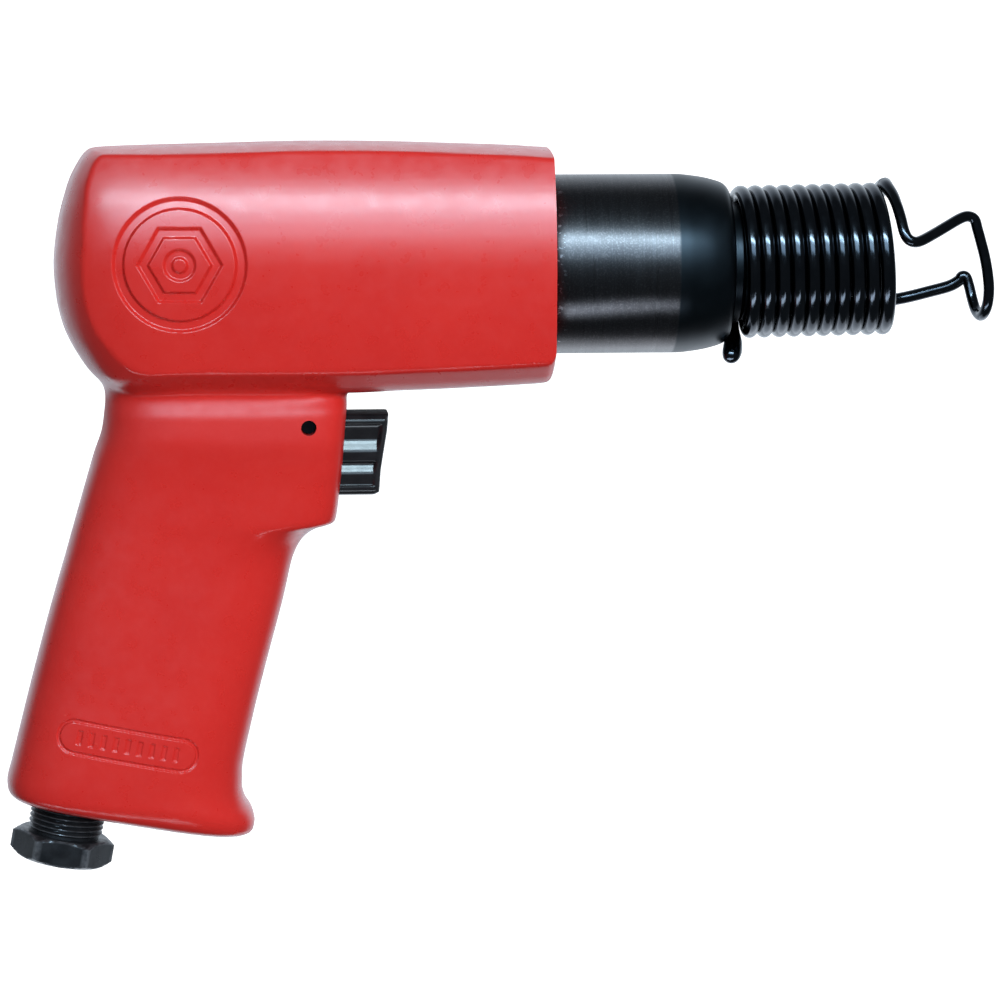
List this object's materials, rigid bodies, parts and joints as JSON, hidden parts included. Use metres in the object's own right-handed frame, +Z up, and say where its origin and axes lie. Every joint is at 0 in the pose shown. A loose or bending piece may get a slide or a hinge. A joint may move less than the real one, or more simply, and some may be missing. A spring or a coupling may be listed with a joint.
{
  "type": "pneumatic air hammer",
  "caption": "Pistol-grip air hammer with a painted housing, short steel barrel, sprung wire tool retainer, trigger-worked throttle and hexagon air inlet.",
  "frame": {"origin": "centre of the bounding box, on the mid-plane", "axes": "+X along the barrel towards the muzzle, +Z up from the handle to the barrel, +Y square to the mid-plane; seen from -Y the muzzle is on the right"},
  "size_m": [0.2466, 0.0534, 0.1811],
  "materials": {
    "red_paint": "satin red paint on an aluminium casting",
    "black_oxide": "oiled black oxide on turned steel",
    "black_wire": "oil-blackened spring wire",
    "bright_steel": "ground",
    "trigger_plastic": "moulded, gloss",
    "valve_brass": "turned",
    "seal_rubber": "matt",
    "felt": "porous"
  },
  "bodies": {
    "housing": {"housing": "red_paint", "barrel": "black_oxide", "barrel_o_ring": "seal_rubber", "valve_block": "bright_steel", "valve_cap": "bright_steel", "valve_dowel_1": "bright_steel", "valve_dowel_2": "bright_steel", "rear_buffer": "seal_rubber", "trigger_pin": "black_oxide", "throttle_bushing": "valve_brass", "throttle_bushing_o_ring": "seal_rubber", "throttle_spring": "bright_steel", "inlet_bushing": "black_oxide", "inlet_screen": "valve_brass", "exhaust_muffler": "felt", "exhaust_retainer": "bright_steel", "retainer_coil": "black_wire", "retainer_front_turns": "black_wire"},
    "piston": {"piston": "bright_steel"},
    "cycle_valve": {"cycle_valve": "bright_steel"},
    "trigger": {"trigger": "trigger_plastic"},
    "throttle_stem": {"throttle_stem": "bright_steel", "throttle_seal": "seal_rubber"},
    "retainer_latch": {"retainer_latch": "black_wire"}
  },
  "joints": [
    {"name": "trigger_pull", "type": "hinge", "parent": "housing", "child": "trigger", "pos_m": [-0.0483, 0, 0.0209], "axis": [0, 1, 0], "range_deg": [0, 12], "stiffness_Nm_per_rad": 0.35, "springref_deg": -11.46},
    {"name": "throttle_open", "type": "slide", "parent": "housing", "child": "throttle_stem", "axis": [-1, 0, 0], "range_m": [0, 0.0031], "deforming": ["throttle_spring"]},
    {"name": "piston_stroke", "type": "slide", "parent": "housing", "child": "piston", "axis": [1, 0, 0], "range_m": [0, 0.0664]},
    {"name": "cycle_valve_shuttle", "type": "slide", "parent": "housing", "child": "cycle_valve", "axis": [1, 0, 0], "range_m": [0, 0.0023]},
    {"name": "latch_lift", "type": "hinge", "parent": "housing", "child": "retainer_latch", "pos_m": [0.0962, 0, 0.0783], "axis": [0, -1, 0], "range_deg": [0, 40], "stiffness_Nm_per_rad": 1.2, "springref_deg": -5.73}
  ],
  "couplings": [
    {"joint": "throttle_open", "follows": "trigger_pull", "m_per_rad": 0.0146}
  ]
}
